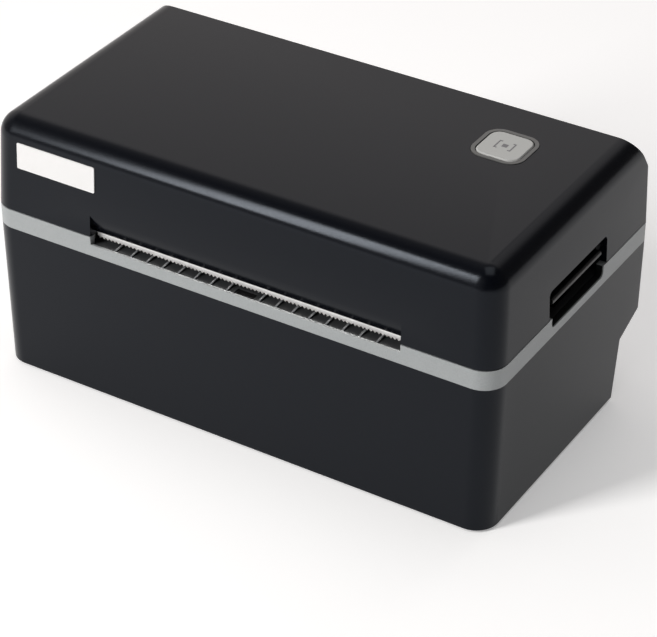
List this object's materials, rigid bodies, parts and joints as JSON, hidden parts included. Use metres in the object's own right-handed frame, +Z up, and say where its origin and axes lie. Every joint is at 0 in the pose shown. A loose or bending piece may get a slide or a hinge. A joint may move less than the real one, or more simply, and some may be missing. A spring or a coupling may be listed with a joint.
{
  "type": "thermal label printer",
  "caption": "Desktop thermal label printer: rear-hinged lid with the print head over a geared platen roller, side latch levers, coupled label guides and a feed button.",
  "frame": {"origin": "under the middle of the whole part, on the plane of the feet", "axes": "+X to the right along the label slot, +Y to the rear hinge, +Z up"},
  "size_m": [0.2, 0.113, 0.101],
  "materials": {
    "case": "fine satin texture",
    "band": "cool silver satin",
    "inner_plastic": "matte",
    "steel": "plain",
    "black_plastic": "matte",
    "gear_plastic": "moulded",
    "lever_plastic": "satin",
    "board": "solder mask",
    "rubber": "matte",
    "motor": "satin",
    "sink": "extruded",
    "ceramic": "glazed",
    "button": "light grey satin",
    "ring": "grey satin"
  },
  "bodies": {
    "base": {"lower_housing": "case", "bottom_cover": "case", "bottom_screws": "steel", "rubber_feet": "rubber", "middle_frame": "band", "hinge_pins": "steel", "paper_deck": "inner_plastic", "deck_screws": "steel", "label_sensor": "black_plastic", "gap_sensor_lower": "black_plastic", "platen_bushings": "gear_plastic", "idler_stud": "steel", "gear_bracket": "steel", "stepper_motor": "motor", "motor_screws": "steel", "guide_screw": "steel", "main_board": "board", "board_screws": "steel", "board_parts": "black_plastic", "usb_socket": "steel", "usb_tongue": "black_plastic", "power_jack": "black_plastic", "jack_pin": "steel", "switch_frame": "black_plastic"},
    "lid": {"top_cover": "case", "lid_liner": "inner_plastic", "liner_screws": "steel", "gap_sensor_upper": "black_plastic", "head_bracket": "steel", "head_guide_pins": "steel", "head_springs": "steel", "tear_bar": "steel", "latch_pins": "steel", "latch_spring_left": "steel", "latch_spring_right": "steel", "button_ring": "ring", "button_board": "board", "button_screws": "steel"},
    "platen": {"platen_shaft": "steel", "platen_roller": "rubber", "platen_gear": "gear_plastic"},
    "idler": {"idler_gear": "gear_plastic"},
    "motor_rotor": {"motor_pinion": "gear_plastic", "motor_shaft": "steel"},
    "guide_left": {"paper_guide_left": "lever_plastic"},
    "guide_right": {"paper_guide_right": "lever_plastic"},
    "guide_wheel": {"guide_pinion": "gear_plastic"},
    "rocker": {"power_rocker": "black_plastic"},
    "head": {"head_heatsink": "sink", "print_head": "ceramic"},
    "button": {"feed_button": "button"},
    "latch_left": {"latch_left": "lever_plastic"},
    "latch_right": {"latch_right": "lever_plastic"}
  },
  "joints": [
    {"name": "lid_hinge", "type": "hinge", "parent": "base", "child": "lid", "pos_m": [0, 0.0535, 0.0658], "axis": [-1, 0, 0], "range_deg": [0, 90]},
    {"name": "platen_spin", "type": "hinge", "parent": "base", "child": "platen", "pos_m": [0.004, -0.0425, 0.0574], "axis": [1, 0, 0], "continuous": true},
    {"name": "idler_spin", "type": "hinge", "parent": "base", "child": "idler", "pos_m": [-0.0676, -0.03951, 0.04454], "axis": [1, 0, 0], "continuous": true},
    {"name": "motor_spin", "type": "hinge", "parent": "base", "child": "motor_rotor", "pos_m": [-0.0676, -0.02999, 0.03144], "axis": [1, 0, 0], "continuous": true},
    {"name": "guide_left_slide", "type": "slide", "parent": "base", "child": "guide_left", "axis": [1, 0, 0], "range_m": [0, 0.039]},
    {"name": "guide_right_slide", "type": "slide", "parent": "base", "child": "guide_right", "axis": [-1, 0, 0], "range_m": [0, 0.039]},
    {"name": "guide_pinion_spin", "type": "hinge", "parent": "base", "child": "guide_wheel", "pos_m": [0.004, 0.02, 0.0571], "axis": [0, 0, 1], "range_deg": [0, 279.32]},
    {"name": "rocker_tilt", "type": "hinge", "parent": "base", "child": "rocker", "pos_m": [0.049, 0.0349, 0.0128], "axis": [0, 0, -1], "range_deg": [0, 20]},
    {"name": "head_lift", "type": "slide", "parent": "lid", "child": "head", "axis": [0, 0, 1], "range_m": [0, 0.001], "stiffness_N_per_m": 3000, "springref_m": -0.004, "deforming": ["head_springs"]},
    {"name": "button_press", "type": "slide", "parent": "lid", "child": "button", "axis": [0, 0, -1], "range_m": [0, 0.0012], "stiffness_N_per_m": 400, "springref_m": -0.002},
    {"name": "latch_left_turn", "type": "hinge", "parent": "lid", "child": "latch_left", "pos_m": [-0.09, 0.001, 0.0815], "axis": [0, 1, 0], "range_deg": [0, 11], "stiffness_Nm_per_rad": 0.2, "springref_deg": -11.46, "deforming": ["latch_spring_left"]},
    {"name": "latch_right_turn", "type": "hinge", "parent": "lid", "child": "latch_right", "pos_m": [0.09, 0.001, 0.0815], "axis": [0, -1, 0], "range_deg": [0, 11], "stiffness_Nm_per_rad": 0.2, "springref_deg": -11.46, "deforming": ["latch_spring_right"]}
  ],
  "couplings": [
    {"joint": "idler_spin", "follows": "platen_spin", "ratio": -1.2},
    {"joint": "motor_spin", "follows": "platen_spin", "ratio": 3.4286},
    {"joint": "guide_right_slide", "follows": "guide_left_slide", "ratio": 1},
    {"joint": "guide_pinion_spin", "follows": "guide_left_slide", "rad_per_m": 125}
  ]
}
